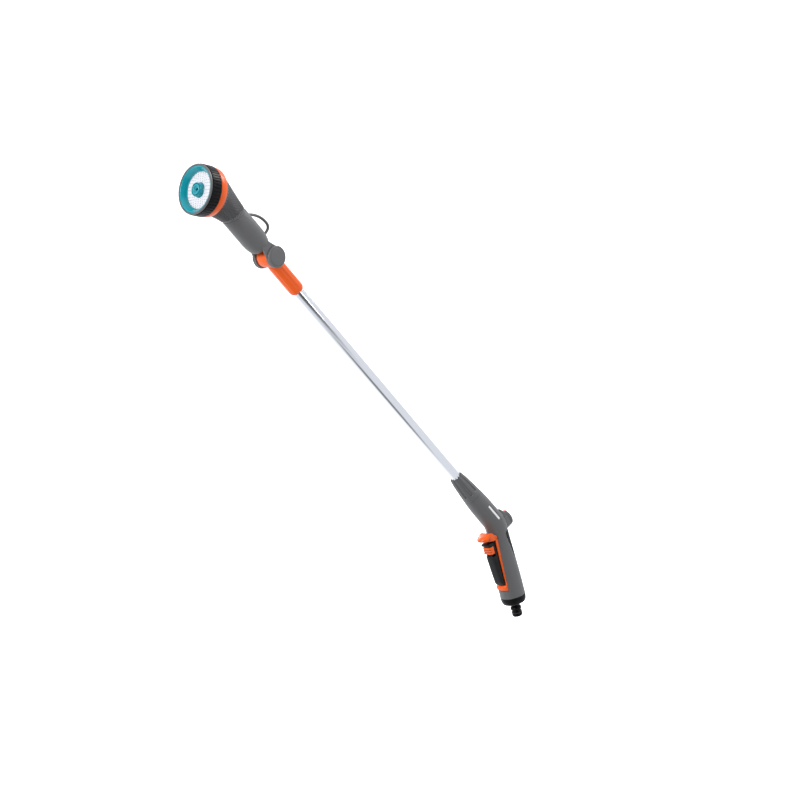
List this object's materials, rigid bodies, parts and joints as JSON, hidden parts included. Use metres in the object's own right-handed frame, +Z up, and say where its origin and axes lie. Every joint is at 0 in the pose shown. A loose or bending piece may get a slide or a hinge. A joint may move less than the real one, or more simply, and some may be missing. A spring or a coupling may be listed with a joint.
{
  "type": "watering wand",
  "caption": "Long watering wand: tilting spray head with a pattern ring, straight metal tube, and a pistol handle with trigger valve, trigger lock, flow knob and hose nipple.",
  "frame": {"origin": "middle of the hand grip, on the grip's axis", "axes": "+Z up along the grip, the hose nipple points down; +X forward, the side of the trigger, towards which the tube leans by 30 degrees; the plane Y = 0 splits the wand"},
  "size_m": [0.449, 0.0728, 0.8383],
  "materials": {
    "dark_grey": "fine-grained satin moulding",
    "black_plastic": "satin moulding",
    "soft_grip": "soft matte grip",
    "orange_plastic": "smooth glossy moulding",
    "teal_plastic": "smooth glossy moulding",
    "pale_plastic": "smooth satin moulding",
    "natural_plastic": "unpigmented moulding",
    "seal_rubber": "moulded ring",
    "tube_aluminium": "polished drawn tube",
    "steel": "plain"
  },
  "bodies": {
    "wand": {"tube_socket": "orange_plastic", "pivot_spool": "natural_plastic", "spool_seal_near": "seal_rubber", "spool_seal_far": "seal_rubber", "tilt_detent_wheel": "natural_plastic", "tube_end_seal": "seal_rubber", "tube": "tube_aluminium", "tube_clamp_ring": "natural_plastic", "tube_base_seal": "seal_rubber", "tube_nut": "dark_grey", "handle_shell_left": "dark_grey", "handle_shell_right": "dark_grey", "rear_pad": "soft_grip", "trigger_bezel": "orange_plastic", "trigger_pin": "steel", "valve_body": "natural_plastic", "valve_plug": "natural_plastic", "valve_spring": "steel", "inlet_pipe": "natural_plastic", "outlet_pipe": "natural_plastic", "regulator_seal": "seal_rubber", "bottom_cap": "black_plastic", "hose_nipple": "black_plastic", "nipple_oring": "seal_rubber", "shell_screw_1": "steel", "shell_screw_2": "steel", "shell_screw_3": "steel", "shell_screw_4": "steel", "shell_screw_5": "steel"},
    "head": {"neck_fork": "dark_grey", "hang_loop": "dark_grey", "hinge_cap_near": "dark_grey", "hinge_cap_far": "dark_grey", "water_duct": "natural_plastic", "head_shell": "dark_grey", "accent_ring": "orange_plastic", "port_plate": "natural_plastic", "head_seal": "seal_rubber", "hub_screw": "steel", "detent_leaf": "steel"},
    "face": {"face_rim": "dark_grey", "selector_ring": "black_plastic", "spray_funnel": "teal_plastic", "spray_plate": "pale_plastic", "centre_nozzle": "teal_plastic", "pattern_disc": "natural_plastic"},
    "trigger": {"trigger": "black_plastic"},
    "lock": {"lock_slider": "orange_plastic"},
    "valve": {"valve_stem": "natural_plastic", "valve_washer": "seal_rubber"},
    "knob": {"flow_knob": "dark_grey", "knob_pointer": "orange_plastic", "regulator_spindle": "natural_plastic"}
  },
  "joints": [
    {"name": "head_tilt", "type": "hinge", "parent": "wand", "child": "head", "pos_m": [0.3024, 0, 0.59577], "axis": [0, 1, 0], "range_deg": [-90, 90]},
    {"name": "selector_turn", "type": "hinge", "parent": "head", "child": "face", "pos_m": [0.3674, 0, 0.70835], "axis": [0.8957, 0, 0.4446], "range_deg": [0, 120]},
    {"name": "trigger_pull", "type": "hinge", "parent": "wand", "child": "trigger", "pos_m": [0.0145, 0, -0.019], "axis": [0, -1, 0], "range_deg": [0, 5], "stiffness_Nm_per_rad": 4, "springref_deg": -5.73, "deforming": ["valve_spring"]},
    {"name": "valve_travel", "type": "slide", "parent": "wand", "child": "valve", "axis": [-1, 0, 0], "range_m": [0, 0.0049]},
    {"name": "lock_slide", "type": "slide", "parent": "trigger", "child": "lock", "axis": [0, 0, -1], "range_m": [0, 0.004]},
    {"name": "flow_turn", "type": "hinge", "parent": "wand", "child": "knob", "pos_m": [0, 0, 0.0632], "axis": [-0.9659, 0, 0.2588], "range_deg": [0, 90]}
  ],
  "couplings": [
    {"joint": "valve_travel", "follows": "trigger_pull", "m_per_rad": 0.056}
  ]
}
